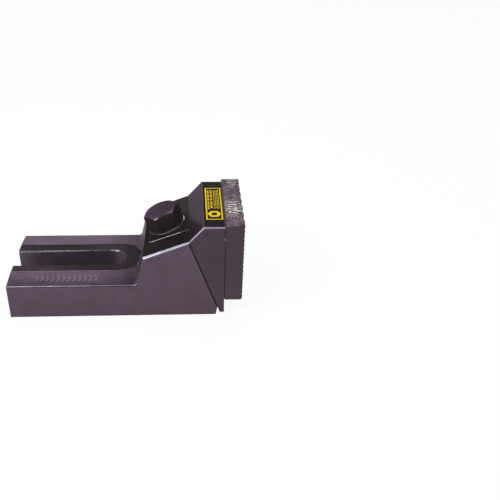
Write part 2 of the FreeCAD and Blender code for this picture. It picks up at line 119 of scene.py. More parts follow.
def softbox(name, towards, distance, size, power):
    """A square studio light that shines at the middle of the vise from a direction."""
    lamp = bpy.data.lights.new(name, "AREA")
    lamp.size = size
    lamp.energy = power
    holder = bpy.data.objects.new(name, lamp)
    middle = Vector((20, 0, 35)) * MM
    away = Vector(towards).normalized()
    holder.matrix_world = Matrix.LocRotScale(middle + away * distance, away.to_track_quat("Z", "Y"), None)
    scene.collection.objects.link(holder)


softbox("key_softbox", (-0.5, -0.46, 0.72), 0.9, 0.5, 3.2)
softbox("top_softbox", (0.1, 0.25, 1.0), 1.0, 0.5, 1.6)

# The base is one steel forging with a purple-grey oxide skin, rougher and paler on the two flanks of the
# foot. The seat, the slot and the incline are milled after forging and come out of the bath nearly black.
# The incline's two long edges are ground bright and carry a painted highlight. The foot's outer edges carry a
# painted highlight with a painted shade line below it, and the slot's rim carries a painted highlight. The flanks,
# seat, slot wall, riser and incline have painted light and shade in their colour.

WELD = 0.002 * MM
ANY_WAY = 0.999


def merged_copy(node):
    """The shape of a CAD node, with its loose triangles joined into whole faces."""
    form = bmesh.new()
    form.from_mesh(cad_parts[node].data)
    bmesh.ops.remove_doubles(form, verts=form.verts, dist=WELD)
    bmesh.ops.dissolve_limit(form, angle_limit=radians(0.3), use_dissolve_boundaries=False,
                             verts=form.verts, edges=form.edges, delimit=set())
    return form


def break_edges(form, width, segments, sharper_than, wanted=lambda edge: True):
    """Rounds the outward edges that turn by more than an angle, and returns the new faces."""
    sharp = [edge for edge in form.edges
             if edge.is_manifold and edge.calc_face_angle_signed() > radians(sharper_than) and wanted(edge)]
    made = bmesh.ops.bevel(form, geom=sharp, offset=width * MM, offset_type="OFFSET", segments=segments,
                           profile=0.5, affect="EDGES", clamp_overlap=True, material=-1)
    return [face for face in made["faces"] if face.is_valid]


def middle_of(face):
    """The middle of a face, in millimetres."""
    return face.calc_center_median() / MM


def paint(faces, number, wanted=lambda face: True):
    """Gives the faces that wanted picks the material of that number."""
    for face in faces:
        if wanted(face):
            face.material_index = number


def finished(form, name, body, materials, nodes=(), crease=40):
    """A piece from the form, shaded by face area, which rides on a body and may stand for CAD nodes."""
    mesh = bpy.data.meshes.new(name)
    form.to_mesh(mesh)
    form.free()
    for material in materials:
        mesh.materials.append(material)
    mesh.shade_smooth()
    mesh.set_sharp_from_angle(angle=radians(crease))
    piece = bpy.data.objects.new(name, mesh)
    scene.collection.objects.link(piece)
    weighted = piece.modifiers.new("weighted_normals", "WEIGHTED_NORMAL")
    weighted.keep_sharp = True
    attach(piece, body)
    if nodes:
        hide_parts(*nodes)
    return piece


def skin(name, dark, light, rough, metal=0.0, specular=0.5, rim=1.0, grain=1100.0, depth=0.02, mottle=55.0,
         streaks=None, fades=(), disc=None):
    """A metal skin: two tones in soft patches, a fine grain in gloss and relief, streaks along a way, and
    fades: each gives a way and, for places along it, how much of the colour is kept there. A disc gives the
    place of an upright cylinder on the X axis, its radius, and how much of the colour is kept inside it."""
    material = bpy.data.materials.new(name)
    add = shader_tree(material)
    spot = add("TexCoord").outputs["Object"]
    patches = add("TexNoise", ("Vector", spot), ("Scale", mottle), ("Detail", 6.0), ("Roughness", 0.62))
    fine = add("TexNoise", ("Vector", spot), ("Scale", grain), ("Detail", 3.0), ("Roughness", 0.6))
    tone = patches.outputs["Fac"]
    relief = fine.outputs["Fac"]
    if streaks:
        stretched = add("Mapping", ("Vector", spot), ("Scale", streaks))
        lines = add("TexNoise", ("Vector", stretched.outputs[0]), ("Scale", 1.0), ("Detail", 4.0))
        tone = add("Mix", (0, 0.5), (2, tone), (3, lines.outputs["Fac"]), data_type="FLOAT").outputs[0]
        relief = add("Mix", (0, 0.6), (2, relief), (3, lines.outputs["Fac"]), data_type="FLOAT").outputs[0]
    span = add("MapRange", ("Value", tone), ("From Min", 0.32), ("From Max", 0.68))
    colour = add("Mix", (0, span.outputs[0]), (6, (*dark, 1)), (7, (*light, 1)), data_type="RGBA").outputs[2]
    # Each fade multiplies the colour along a way; the skins below use fades to paint light and shade into it.
    for way, *places in fades:
        first, last = places[0][0], places[-1][0]
        away = add("VectorMath", (0, spot), (1, way), operation="DOT_PRODUCT").outputs["Value"]
        share = add("MapRange", ("Value", away), ("From Min", first * MM), ("From Max", last * MM)).outputs[0]
        kept = add("ValToRGB", (0, share))
        kept.color_ramp.interpolation = "EASE"
        for number, (place, keep) in enumerate(places):
            stop = kept.color_ramp.elements[number] if number < 2 else kept.color_ramp.elements.new(1)
            stop.position = (place - first) / (last - first)
            stop.color = (keep, keep, keep, 1)
        colour = add("Mix", (0, 1.0), (6, colour), (7, kept.outputs[0]), data_type="RGBA",
                     blend_type="MULTIPLY").outputs[2]
    if disc:
        place, radius, keep = disc
        level = add("VectorMath", (0, spot), (1, (1, 1, 0)), operation="MULTIPLY").outputs[0]
        away = add("VectorMath", (0, level), (1, (place * MM, 0, 0)), operation="DISTANCE").outputs["Value"]
        kept = add("MapRange", ("Value", away), ("From Min", (radius - 0.4) * MM), ("From Max", (radius + 0.2) * MM),
                   ("To Min", keep))
        colour = add("Mix", (0, 1.0), (6, colour), (7, kept.outputs[0]), data_type="RGBA",
                     blend_type="MULTIPLY").outputs[2]
    gloss = add("MapRange", ("Value", relief), ("From Min", 0.3), ("From Max", 0.7),
                ("To Min", rough - 0.07), ("To Max", rough + 0.09))
    bump = add("Bump", ("Height", relief), ("Strength", 0.6), ("Distance", depth * MM))
    surface = add("BsdfPrincipled", ("Base Color", colour), ("Roughness", gloss.outputs[0]), ("Metallic", metal),
                  ("Specular IOR Level", specular), ("Specular Tint", (rim, rim, rim, 1)),
                  ("Normal", bump.outputs[0]))
    add("OutputMaterial", ("Surface", surface.outputs[0]))
    return material


FORWARD = (1, 0, 0)
FARWARD = (0, 1, 0)
UPWARD = (0, 0, 1)
forged_side = skin("forged_side", (0.086, 0.055, 0.081), (0.106, 0.069, 0.100), 0.42, specular=0.29)
# Painted light on the flanks: a painted highlight along the inner lip by the seat, painted shade towards the near
# outer edge, and painted shade towards the riser and the head.
forged_flank_painted_light = skin("forged_flank_painted_light", (0.087, 0.054, 0.084), (0.172, 0.118, 0.177), 0.5, specular=0.12,
                    grain=700.0, depth=0.05, streaks=(60.0, 500.0, 500.0),
                    fades=[(FARWARD, (-37, 0.5), (-22, 1), (-20.4, 1), (-19.5, 1.45), (-18, 1)),
                           (FORWARD, (-12, 1), (8, 0.65), (13, 0.48), (18, 0.42), (22, 0.35))],
                    disc=(6, 19.3, 0.35))
# Milled black, painted lighter towards the far side as painted light.
milled_black_painted_far_light = skin("milled_black_painted_far_light", (0.0115, 0.0086, 0.0090), (0.019, 0.0144, 0.0150), 0.38, specular=0.01,
                    grain=900.0, depth=0.04, fades=[(FARWARD, (0, 1.05), (16, 2.2))])
# The seat's black, painted darker at its round end and across its middle and lighter at both ends: painted shade and
# light.
seat_black_painted_shade = skin("seat_black_painted_shade", (0.011, 0.008, 0.0105), (0.059, 0.040, 0.056), 0.45, specular=0.05,
                  grain=600.0, depth=0.1, mottle=430.0,
                  fades=[(FORWARD, (6, 1), (13, 0.5)),
                         ((1, 1, 0), (-80, 1.15), (-62, 1.05), (-40, 0.65), (-18, 0.5), (4, 1), (20, 1.15))])
# The slot's wall, painted lighter at both ends and darker in the middle: painted light and shade.
slot_wall_painted_shade = skin("slot_wall_painted_shade", (0.100, 0.070, 0.095), (0.145, 0.104, 0.140), 0.45, specular=0.2, mottle=45.0,
                  fades=[(FORWARD, (-76, 1), (-58, 0.52), (-5, 0.5), (5, 0.9))])
# The ground bevels: bright steel with a painted highlight, brightest at the rear and dimmer towards the jaw.
ground_edge_painted_highlight = skin("ground_edge_painted_highlight", (0.60, 0.58, 0.76), (0.80, 0.79, 0.96), 0.45, metal=0.3, mottle=300.0,
                   fades=[(FORWARD, (27, 1), (36, 0.92), (42, 0.62), (50, 0.58), (57, 0.42))])
# Painted highlight along the rounds of the foot's outer edges, dimmer in the middle of the foot.
foot_edge_painted_highlight = skin("foot_edge_painted_highlight", (0.14, 0.11, 0.16), (0.50, 0.44, 0.58), 0.4, metal=0.35, mottle=150.0,
                   fades=[(FORWARD, (-30, 1), (-5, 0.6), (14, 0.6), (19, 1))])
# A dark painted shade line on the lower faces of the foot's edge rounds.
foot_edge_painted_shade = skin("foot_edge_painted_shade", (0.010, 0.007, 0.010), (0.030, 0.021, 0.029), 0.45, specular=0.05, mottle=150.0)
# The riser and its round at the foot, painted darker than the side as shade in the crease, darkest on the near part.
riser_painted_shade = skin("riser_painted_shade", (0.068, 0.043, 0.066), (0.098, 0.064, 0.096), 0.45, specular=0.08, grain=700.0,
                  fades=[(FARWARD, (-34, 0.95), (-22, 0.65), (-8, 1))])
# Painted highlight on the slot's rim chamfer, brightest where its round end begins.
slot_rim_painted_highlight = skin("slot_rim_painted_highlight", (0.10, 0.08, 0.11), (0.75, 0.70, 0.80), 0.35, metal=0.4, mottle=420.0,
                  fades=[(FORWARD, (-80, 0.5), (-74, 0.32), (-62, 0.34), (-52, 0.5), (-38, 0.46), (-28, 0.28),
                          (-18, 0.15), (-3, 0.12), (0, 0.9), (4, 1), (6, 0.12))])

LEAN = radians(20.5)
SLOPE = Vector((-sin(LEAN), 0, cos(LEAN)))
FRONT = Vector((cos(LEAN), 0, sin(LEAN)))
SEAT_HEIGHT = 28.1
SEAT_WALL = 9
SEAT_HALF = 19.2
HEAD_REAR = 26.1
RISER_FOOT = 20.8
EDGE_END = 21.2
FOOT_EDGE = 26.6
SLOT_HALF = 10.2


def faces_way(face, way, least=ANY_WAY):
    return face.normal.dot(Vector(way).normalized()) > least


def on_slope_bevel(face):
    """True for the two ground bevels along the incline's top."""
    return 0.65 < abs(face.normal.y) < 0.75 and face.normal.dot(SLOPE) > 0.65 and middle_of(face).x > HEAD_REAR


def on_foot_edge(face):
    """True for the rounds along the foot's outer edges, and the start of their turn up the riser."""
    at = middle_of(face)
    return 0.25 < abs(face.normal.y) < 0.99 and -1.6 < at.z - FOOT_EDGE < 2.4 and abs(at.y) > 36 and at.x < EDGE_END


def on_slot_rim(face):
    at = middle_of(face)
    return 0.5 < face.normal.z < 0.9 and abs(at.y) < SLOT_HALF + 1 and abs(at.z - SEAT_HEIGHT) < 1 and at.x < 12


def in_slot(face):
    at = middle_of(face)
    return abs(face.normal.z) < 0.1 and abs(at.y) < SLOT_HALF and at.x < SLOT_HALF and at.z < SEAT_HEIGHT


def in_seat_wall(face):
    at = middle_of(face)
    around = 0 < at.x < HEAD_REAR and abs(at.y) < SEAT_HALF
    return abs(face.normal.z) < 0.1 and SEAT_HEIGHT < at.z < SEAT_HEIGHT + SEAT_WALL and around


SEAM_BREAK = 0.44


def along_seam(face):
    return face.normal.dot(FRONT) > 0.3 and abs(face.normal.y) > 0.3


base = merged_copy("base_body")
break_edges(base, SEAM_BREAK, 2, 28, lambda edge: any(faces_way(face, FRONT) for face in edge.link_faces)
            and any(abs(face.normal.y) > ANY_WAY for face in edge.link_faces))
break_edges(base, 0.4, 2, 28, lambda edge: not any(
    on_slope_bevel(face) or on_slot_rim(face) or along_seam(face) for face in edge.link_faces))
# The flanks' upward faces take the skin with painted light and shade in it.
paint(base.faces, 1, lambda face: face.normal.z > 0.9 and middle_of(face).x < RISER_FOOT)
# Painted shade in the crease between the flank and the riser.
paint(base.faces, 8, lambda face: 0.25 < -face.normal.x and 0.1 < face.normal.z < 0.9 and middle_of(face).x > 0)
# The incline: milled black, painted lighter towards the far side.
paint(base.faces, 2, lambda face: faces_way(face, SLOPE))
# The seat and its wall: black with painted shade and light.
paint(base.faces, 3, lambda face: faces_way(face, UPWARD, 0.9999)
      and abs(middle_of(face).z - SEAT_HEIGHT) < 0.1)
paint(base.faces, 3, in_seat_wall)
# The slot's wall: painted light and shade.
paint(base.faces, 4, in_slot)
paint(base.faces, 2, along_seam)
# Painted highlight on the incline's ground bevels.
paint(base.faces, 5, on_slope_bevel)
# Painted highlight on the foot's edge rounds.
paint(base.faces, 6, on_foot_edge)
# Painted shade line on the lower faces of those rounds.
paint(base.faces, 9, lambda face: on_foot_edge(face) and abs(face.normal.y) > 0.78)
# Painted highlight on the slot's rim.
paint(base.faces, 7, on_slot_rim)
finished(base, "vise_base", "base", [
    forged_side, forged_flank_painted_light, milled_black_painted_far_light, seat_black_painted_shade, slot_wall_painted_shade, ground_edge_painted_highlight, foot_edge_painted_highlight, slot_rim_painted_highlight,
    riser_painted_shade, foot_edge_painted_shade],
    ["base_body"])

# Raised marks on the near flank of the foot, forged with it: a plain row of chevrons that point to the jaw.

MARK_COUNT = 12
MARK_PITCH = 3.9
MARK_START = -54.0
MARK_HALF = 3.2
MARK_STROKE = 1.1
MARK_REACH = 2.0
MARK_PROUD = 0.3
MARK_SUNK = 0.2
MARK_ROUND = 0.2
HALF_WIDTH = 37.5
FLANK_MIDDLE = -28.6
FLANK_DRAFT = radians(6.0)
FLANK_RISE = FOOT_EDGE + (HALF_WIDTH + FLANK_MIDDLE) * tan(FLANK_DRAFT)

marks = bmesh.new()
for number in range(MARK_COUNT):
    at = MARK_START + number * MARK_PITCH
    tips = [(0, -MARK_HALF), (MARK_STROKE, -MARK_HALF), (MARK_STROKE + MARK_REACH, 0), (MARK_STROKE, MARK_HALF),
            (0, MARK_HALF), (MARK_REACH, 0)]
    corners = [marks.verts.new(((at + x) * MM, y * MM, -MARK_SUNK * MM)) for x, y in tips]
    flat = marks.faces.new(corners)
    raised = bmesh.ops.extrude_face_region(marks, geom=[flat])
    bmesh.ops.translate(marks, vec=(0, 0, (MARK_PROUD + MARK_SUNK) * MM),
                        verts=[part for part in raised["geom"] if isinstance(part, bmesh.types.BMVert)])
bmesh.ops.recalc_face_normals(marks, faces=marks.faces)
break_edges(marks, MARK_ROUND, 2, 60, lambda edge: min(v.co.z for v in edge.verts) > 0)
bmesh.ops.transform(marks, verts=marks.verts, matrix=Matrix.Translation((0, FLANK_MIDDLE * MM, FLANK_RISE * MM))
                    @ Matrix.Rotation(FLANK_DRAFT, 4, "X"))
# The marks are painted paler than the flank, as a painted highlight on their raised faces.
forged_mark_painted_highlight = skin("forged_mark_painted_highlight", (0.13, 0.095, 0.13), (0.21, 0.16, 0.21), 0.42, specular=0.4, grain=700.0,
                   depth=0.04)
finished(marks, "flank_marks", "base", [forged_mark_painted_highlight])

# The jaw block slides on the incline: a wedge with a lug that reaches back under the screw's head. It is
# milled all over and oxidised, smoother and darker than the base. Its top bevels and the lug's bevel carry
# painted highlights, its sides and steep rear face painted shade, and the lug's top painted light.

# The block's sides, with painted shade that darkens them towards the top.
block_side = skin("block_side", (0.062, 0.038, 0.058), (0.075, 0.046, 0.070), 0.4, specular=0.25,
                  fades=[(UPWARD, (15, 1), (42, 0.86))])
# The steep rear face, with painted shade darkening its foot where the head and incline are mirrored.
block_rear_painted_shade = skin("block_rear_painted_shade", (0.050, 0.0325, 0.0470), (0.073, 0.0475, 0.0685), 0.4, specular=0.02,
                  streaks=(60.0, 700.0, 60.0),
                  fades=[((0, 0.32, 1), (61.4, 0.34), (62.5, 0.55), (63.6, 0.95), (75, 1))])
# Milled black for the lug's top and the seam, painted lighter towards the far side as painted light.
lug_black_painted_far_light = skin("lug_black_painted_far_light", (0.015, 0.0113, 0.0122), (0.024, 0.018, 0.0195), 0.38, specular=0.01,
                 grain=900.0, depth=0.04, fades=[(FARWARD, (0, 1.05), (16, 2.2))])
# Painted highlight on the bevels along the block's top.
block_bevel_painted_highlight = skin("block_bevel_painted_highlight", (0.19, 0.15, 0.23), (0.32, 0.27, 0.38), 0.4, metal=0.45, mottle=200.0)
# Painted highlight on the lug's bevel, fading out near the steep face.
lug_edge_painted_highlight = skin("lug_edge_painted_highlight", (0.20, 0.185, 0.19), (0.42, 0.39, 0.39), 0.35, metal=0.6, mottle=200.0,
                fades=[(FORWARD, (51.5, 1), (53.5, 0.15))])
REAR_WAY = Vector((-0.744, 0, 0.668))


def on_top_bevel(face):
    """True for the bevels between the block's sides and its flat or steep top."""
    at = middle_of(face)
    return 0.6 < abs(face.normal.y) < 0.8 and face.normal.z > 0.4 and abs(at.y) > 30


def on_lug_bevel(face):
    at = middle_of(face)
    return 0.6 < face.normal.dot(SLOPE) < 0.8 and abs(face.normal.y) > 0.5 and abs(at.y) < 20 and at.x < 57


def behind_seam(face):
    return face.normal.dot(FRONT) < -0.3 and abs(face.normal.y) > 0.3 and abs(middle_of(face).y) > 30


block = merged_copy("wedge_slide")
break_edges(block, 0.38, 2, 28, lambda edge: any(
    face.normal.dot(FRONT) < -ANY_WAY for face in edge.link_faces) and any(
    abs(face.normal.y) > ANY_WAY for face in edge.link_faces))
break_edges(block, 0.35, 2, 28, lambda edge: not any(
    on_top_bevel(face) or on_lug_bevel(face) or behind_seam(face) for face in edge.link_faces))
# The steep rear face takes the skin with painted shade at its foot.
paint(block.faces, 1, lambda face: faces_way(face, REAR_WAY, 0.99))
# The lug's top: milled black, painted lighter towards the far side.
paint(block.faces, 2, lambda face: faces_way(face, SLOPE))
paint(block.faces, 2, behind_seam)
# Painted highlight on the top bevels.
paint(block.faces, 3, on_top_bevel)
# Painted highlight on the lug's bevel.
paint(block.faces, 4, on_lug_bevel)
finished(block, "jaw_block", "jaw", [block_side, block_rear_painted_shade, lug_black_painted_far_light, block_bevel_painted_highlight, lug_edge_painted_highlight],
         ["wedge_slide"])

# The jaw plate is cast tool steel, its face cut with ribs and flutes that cross into small teeth. Its top
# is left as cast: swirled and pitted, with a painted glare on the swirl crests in two patches.

PLATE_TOP = 76.0
PLATE_BACK = 84.5
PLATE_DEPTH = 13.8
CAST_STEP = 0.5
CAST_DEPTH = 0.3
GLARE = Vector((91.0, -12.0))
GLARE_HALF = Vector((7.5, 15.0))
FAR_GLARE = Vector((92.5, 30.0))
FAR_GLARE_HALF = Vector((4.5, 7.0))
SWIRL_MIDDLE = Vector((90.5, -25.0))
SWIRL_STEP = 2.9
SAG = 1.8
SAG_FROM = 72.0
SAG_START = 30.0

# The plate's sides, with painted shade that darkens them towards the top.
plate_side = skin("plate_side", (0.062, 0.040, 0.058), (0.075, 0.048, 0.070), 0.42, specular=0.25,
                  streaks=(900.0, 60.0, 20.0), fades=[(UPWARD, (15, 1), (42, 0.86))])
teeth = skin("teeth", (0.05, 0.036, 0.046), (0.085, 0.065, 0.08), 0.38, specular=0.4, metal=0.3)
cast_top = bpy.data.materials.new("cast_top")
add = shader_tree(cast_top)
spot = add("TexCoord").outputs["Object"]
fine = add("TexNoise", ("Vector", spot), ("Scale", 450.0), ("Detail", 3.0), ("Roughness", 0.6)).outputs["Fac"]
patches = add("TexNoise", ("Vector", spot), ("Scale", 170.0), ("Detail", 3.0), ("Distortion", 1.5)).outputs["Fac"]
# The pale cream mixed into the top is a painted glare; a vertex attribute gives how much of it each place gets.
painted_glare = add("Attribute", attribute_name="painted_glare").outputs["Fac"]
grit = add("MapRange", ("Value", fine), ("From Min", 0.35), ("From Max", 0.65), ("To Min", -0.15), ("To Max", 0.15))
bright = add("Math", (0, painted_glare), (1, grit.outputs[0]), operation="ADD", use_clamp=True).outputs[0]
bright = add("Math", (0, bright), (1, painted_glare), operation="MINIMUM").outputs[0]
span = add("MapRange", ("Value", patches), ("From Min", 0.38), ("From Max", 0.62))
tone = add("Mix", (0, span.outputs[0]), (6, (0.050, 0.031, 0.045, 1)), (7, (0.155, 0.108, 0.142, 1)),
           data_type="RGBA").outputs[2]
colour = add("Mix", (0, bright), (6, tone), (7, (0.92, 0.85, 0.76, 1)), data_type="RGBA").outputs[2]
bump = add("Bump", ("Height", fine), ("Strength", 0.7), ("Distance", 0.1 * MM))
surface = add("BsdfPrincipled", ("Base Color", colour), ("Roughness", 0.4), ("Metallic", 0.1),
              ("Specular IOR Level", 0.1), ("Normal", bump.outputs[0]))
add("OutputMaterial", ("Surface", surface.outputs[0]))

plate = merged_copy("jaw_plate")
painted_glare_layer = plate.verts.layers.float.new("painted_glare")
break_edges(plate, 0.2, 1, 60, lambda edge: all(v.co.x < 90 * MM for v in edge.verts))
break_edges(plate, 0.6, 3, 60, lambda edge: all(
    abs(v.co.y) > 37.4 * MM and v.co.z > (PLATE_TOP - 0.1) * MM for v in edge.verts))


def spread(at, middle, half):
    """One at the middle of a patch, falling to nothing at its half lengths."""
    away = at.xy - middle
    return max(0, 1 - (away.x / half.x) ** 2) * max(0, 1 - (away.y / half.y) ** 2)


def on_plate_top(face):
    return face.normal.z > 0.995 and middle_of(face).z > PLATE_TOP - 0.05


top = [face for face in plate.faces if on_plate_top(face)]
work = list({part for face in top for part in (face, *face.edges, *face.verts)})
cuts = [((PLATE_BACK + step * CAST_STEP, 0), (1, 0, 0)) for step in range(1, int(PLATE_DEPTH / CAST_STEP) + 1)]
cuts += [((0, -HALF_WIDTH + step * CAST_STEP), (0, 1, 0))
         for step in range(1, int(2 * HALF_WIDTH / CAST_STEP) + 1)]
for (x, y), way in cuts:
    work = bmesh.ops.bisect_plane(plate, geom=work, dist=WELD, plane_co=(x * MM, y * MM, 0), plane_no=way)["geom"]
for vert in {vert for face in plate.faces if on_plate_top(face) for vert in face.verts}:
    at = vert.co / MM
    inside = min(1, max(0, (HALF_WIDTH - abs(at.y)) / 1.5), max(0, (at.x - PLATE_BACK) / 1.5))
    wander = noise.noise(at * 0.12) * 3.6 + noise.noise(at * 0.36) * 0.8
    swirl = sin(((at.xy - SWIRL_MIDDLE).length + wander) * 2 * pi / SWIRL_STEP)
    pits = noise.fractal(at * 0.55, 0.7, 2.1, 4)
    rise = 0.5 + 0.38 * swirl - 0.4 * pits
    # Painted glare: pale on the swirl crests, only inside the two glare patches.
    shine = 0.08 + 0.92 * spread(at, GLARE, GLARE_HALF) + 0.4 * spread(at, FAR_GLARE, FAR_GLARE_HALF)
    vert[painted_glare_layer] = min(1, max(0, (rise - 0.52) * 3.6)) * min(1, shine)
    vert.co.z -= CAST_DEPTH * MM * inside * min(1, max(0, 1 - rise))
paint(plate.faces, 1, lambda face: face.normal.z > 0.8 and middle_of(face).z > PLATE_TOP - 0.6)
for vert in plate.verts:
    at = vert.co / MM
    if at.z > SAG_FROM and at.y < -SAG_START:
        share = ((-SAG_START - at.y) / (HALF_WIDTH - SAG_START)) ** 1.5 * (1 - (at.x - PLATE_BACK) / PLATE_DEPTH)
        vert.co.z -= SAG * MM * share * (at.z - SAG_FROM) / (PLATE_TOP - SAG_FROM)
paint(plate.faces, 2, lambda face: face.normal.x > 0.3 and middle_of(face).z < PLATE_TOP - 0.6)
finished(plate, "serrated_plate", "jaw", [plate_side, cast_top, teeth], ["jaw_plate"])

# Two socket-head screws hold the plate to the block, sunk into it from the serrated face. Black oxide steel
# with a knurled head and a hexagon socket.

JAW_SCREW_SEAT = 89.1
JAW_SCREW_SIDE = 21.4
JAW_SCREW_HEIGHT = 44.5
SOCKET_FLATS = 6.0
SOCKET_FLOOR = 4.0
HEAD_RADIUS = 6.5
HEAD_RISE = 8.0
KNURL_STEPS = 96
KNURL_DEPTH = 0.18


def turned(profile, steps):
    """A form spun about Z from (radius, height) points in millimetres."""
    form = bmesh.new()
    rim = [form.verts.new((radius * MM, 0, height * MM)) for radius, height in profile]
    line = [form.edges.new(ends) for ends in zip(rim, rim[1:])]
    bmesh.ops.spin(form, geom=rim + line, cent=(0, 0, 0), axis=(0, 0, 1), dvec=(0, 0, 0), angle=2 * pi,
                   steps=steps, use_merge=True, use_duplicate=False)
    bmesh.ops.remove_doubles(form, verts=form.verts, dist=WELD)
    bmesh.ops.recalc_face_normals(form, faces=form.faces)
    return form


def radius_of(vert):
    return Vector(vert.co[:2]).length / MM


black_oxide = skin("black_oxide", (0.014, 0.012, 0.014), (0.03, 0.026, 0.03), 0.35, specular=0.4)
for side, turn in (("near", -1), ("far", 1)):
    bolt = turned([(0, SOCKET_FLOOR - 0.5), (SOCKET_FLATS / 2, SOCKET_FLOOR), (SOCKET_FLATS / 2, HEAD_RISE - 0.3),
                   (SOCKET_FLATS / 2 + 0.35, HEAD_RISE), (HEAD_RADIUS - 0.9, HEAD_RISE),
                   (HEAD_RADIUS - 0.25, HEAD_RISE - 0.25), (HEAD_RADIUS, HEAD_RISE - 0.9), (HEAD_RADIUS, 0.9),
                   (HEAD_RADIUS - 0.3, 0.5), (HEAD_RADIUS - 0.3, 0), (4, 0), (4, -15.4), (3.4, -16), (0, -16)],
                  KNURL_STEPS)
    for vert in bolt.verts:
        around = atan2(vert.co.y, vert.co.x)
        if SOCKET_FLOOR - 0.1 < vert.co.z / MM and abs(radius_of(vert) - SOCKET_FLATS / 2) < 0.4:
            vert.co.xy *= 1 / cos((around + pi / 6) % (pi / 3) - pi / 6)
        elif radius_of(vert) > HEAD_RADIUS - 0.1 and round(around / (2 * pi) * KNURL_STEPS) % 2:
            vert.co.xy *= 1 - KNURL_DEPTH / HEAD_RADIUS
    bmesh.ops.transform(bolt, verts=bolt.verts, matrix=Matrix.Translation(
        Vector((JAW_SCREW_SEAT, turn * JAW_SCREW_SIDE, JAW_SCREW_HEIGHT)) * MM) @ Matrix.Rotation(pi / 2, 4, "Y"))
    finished(bolt, f"jaw_bolt_{side}", "jaw", [black_oxide], ["jaw_screws"], crease=35)

# Two short dowel pins keep the plate from turning, half in the plate and half in the block. Hardened steel,
# oxidised with the block, with a slightly domed end that carries a painted highlight in its middle.

PIN_RADIUS = 1.5
PIN_HEIGHT = 64.1
PIN_LENGTH = 12.0

pin_end = skin("pin_end", (0.040, 0.028, 0.038), (0.07, 0.05, 0.066), 0.35, metal=0.4)
# Painted highlight in the middle of the domed end.
pin_painted_highlight = skin("pin_painted_highlight", (0.13, 0.11, 0.13), (0.18, 0.16, 0.18), 0.35, metal=0.4)
for side, turn in (("near", -1), ("far", 1)):
    pin = turned([(0, -PIN_LENGTH), (PIN_RADIUS, -PIN_LENGTH), (PIN_RADIUS, -0.25), (PIN_RADIUS - 0.25, -0.1),
                  (0.7, -0.03), (0, 0)], 32)
    # The middle of the domed end takes the painted highlight.
    paint(pin.faces, 1, lambda face: face.normal.z > 0.9 and middle_of(face).z > -0.04)
    bmesh.ops.transform(pin, verts=pin.verts, matrix=Matrix.Translation(
        Vector((PLATE_BACK, turn * HALF_WIDTH, PIN_HEIGHT)) * MM) @ Matrix.Rotation(-turn * pi / 2, 4, "X"))
    finished(pin, f"dowel_pin_{side}", "jaw", [pin_end, pin_painted_highlight], ["jaw_pins"])

# The clamping screw: a hexagon head turned with a chamfer and milled to its flats, a plain shank through
# the lug, a groove for the ring, and a 2 mm pitch thread into the base. Oxidised nearly black; the top is
# painted paler than the flats as painted light, and the chamfer carries painted highlights at two corners.

SCREW_PLACE = Vector((42.773, 0, 56.133))
SCREW_FRAME = Matrix.Translation(SCREW_PLACE * MM) @ Matrix.Rotation(LEAN, 4, Vector((0, -1, 0)))
WASHER_RISE = 1.0
FLAT = 12.0
CORNER = FLAT / cos(pi / 6)
FACE_RADIUS = 11.3
HEAD_SEAT = 1.2
HEAD_TOP = 14.2
CHAMFER = (CORNER - FACE_RADIUS) * tan(radians(28))
HEAD_TURN = radians(13.6)
GLINT_RADIUS = 12.35

# The flats are painted darker than the top, as painted shade from the black incline below them.
head_side = skin("head_side", (0.025, 0.018, 0.019), (0.036, 0.027, 0.0285), 0.3, specular=0.08)
# The top is painted paler than the flats as lit from above, and lighter still towards the left.
head_top_painted_light = skin("head_top_painted_light", (0.053, 0.035, 0.054), (0.077, 0.053, 0.077), 0.34, metal=0.8, rim=0.3, mottle=160.0,
                fades=[(FORWARD, (29, 1.35), (38, 1))])
# Painted highlight on the chamfer at the near-left corner, fading to the right.
head_glint = skin("head_glint", (0.22, 0.19, 0.27), (0.34, 0.30, 0.42), 0.28, metal=0.7, mottle=160.0,
                  fades=[(FORWARD, (34.8, 1), (37, 0.8), (39.5, 0.35))])
# A fainter painted highlight on the chamfer at the near-right corner.
head_corner_painted_highlight = skin("head_corner_painted_highlight", (0.050, 0.037, 0.054), (0.068, 0.052, 0.074), 0.3, metal=0.7, mottle=160.0)
head = turned([(0, WASHER_RISE), (FACE_RADIUS, WASHER_RISE), (FACE_RADIUS, HEAD_SEAT), (CORNER, HEAD_SEAT),
               (CORNER, HEAD_TOP - CHAMFER),
               (GLINT_RADIUS, HEAD_TOP - CHAMFER * (GLINT_RADIUS - FACE_RADIUS) / (CORNER - FACE_RADIUS)),
               (FACE_RADIUS, HEAD_TOP), (0, HEAD_TOP)], 96)
for number in range(6):
    around = HEAD_TURN + pi / 6 + number * pi / 3
    outward = Vector((cos(around), sin(around), 0))
    cut = bmesh.ops.bisect_plane(head, geom=head.verts[:] + head.edges[:] + head.faces[:], dist=WELD,
                                 plane_co=outward * FLAT * MM, plane_no=outward, clear_outer=True)
    loop = [part for part in cut["geom_cut"] if isinstance(part, bmesh.types.BMEdge)]
    bmesh.ops.edgeloop_fill(head, edges=loop)
bmesh.ops.recalc_face_normals(head, faces=head.faces)


def on_chamfer(face, start, stop):
    """True for the outer faces of the head's upper chamfer between two angles about the screw, in degrees."""
    at = middle_of(face)
    return 0.3 < face.normal.z < 0.97 and at.xy.length > FLAT and start < degrees(atan2(at.y, at.x)) < stop


